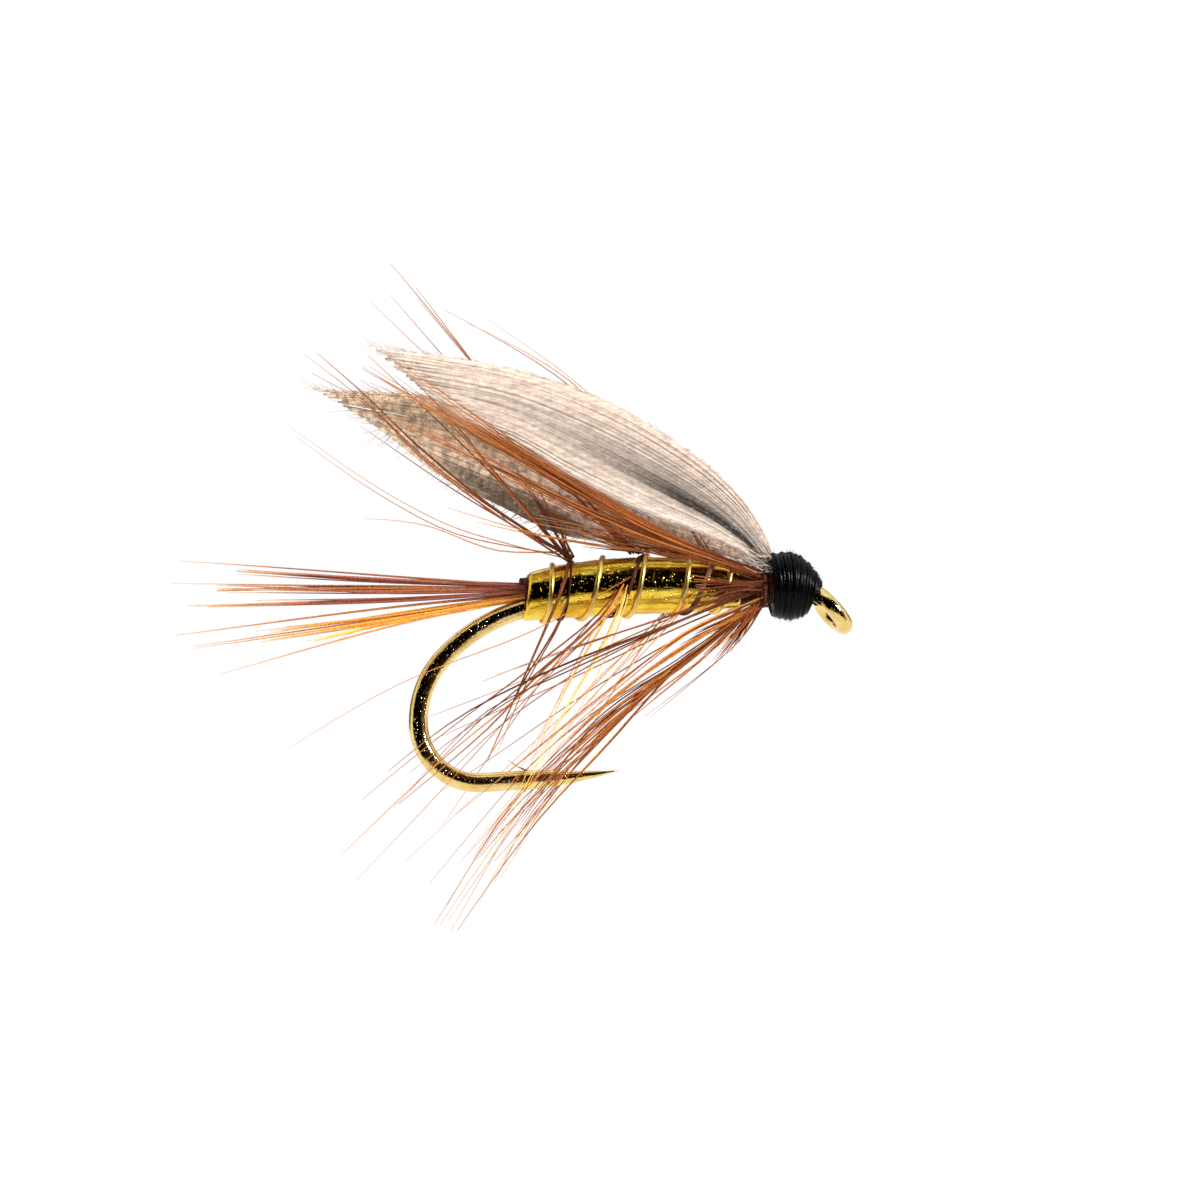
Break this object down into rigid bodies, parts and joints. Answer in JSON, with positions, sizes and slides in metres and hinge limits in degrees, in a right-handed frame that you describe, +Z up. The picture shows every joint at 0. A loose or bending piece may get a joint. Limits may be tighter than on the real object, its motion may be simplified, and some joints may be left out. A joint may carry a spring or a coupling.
{
  "type": "fishing fly",
  "caption": "Winged wet fly on a down-eye hook: tinsel body ribbed with wire, wound hackles, barb tail, paired quill-slip wings and a thread head.",
  "frame": {"origin": "centre of the hook's eye", "axes": "+X along the shank from the bend towards the eye, +Z up away from the hook's point, so the hook lies in the XZ plane"},
  "size_m": [0.0227, 0.0107, 0.022],
  "materials": {
    "hook_wire": "bronzed gold plating, polished",
    "thread_black": "waxed tying thread with a satin coat of head cement",
    "thread_brown": "waxed brown tying thread",
    "tail_barb": "dyed hackle barbs, mahogany with amber",
    "floss": "yellow rayon floss",
    "tinsel": "flat metal tinsel, mirror finish",
    "rib": "round drawn wire, polished",
    "hackle_stem": "feather stem, satin",
    "hackle_barb": "red-brown hackle barbs, translucent at the tips",
    "wing_grey": "quill slip, warm grey, fine parallel barbs",
    "wing_brown": "quill slip, mottled brown, fine parallel barbs"
  },
  "bodies": {
    "root": {"hook": "hook_wire", "thread_base": "thread_brown", "tail_barbs": "tail_barb", "tail_lashing": "thread_brown", "floss_underbody": "floss", "tinsel_body": "tinsel", "rib_wire": "rib", "body_hackle_stem": "hackle_stem", "body_hackle_barbs": "hackle_barb", "neck_wraps": "thread_brown", "collar_hackle_stem": "hackle_stem", "collar_hackle_barbs": "hackle_barb", "wing_slip_right": "wing_grey", "wing_slip_left": "wing_brown", "head_core": "thread_black", "head_wraps": "thread_black", "whip_finish": "thread_black"}
  },
  "joints": []
}
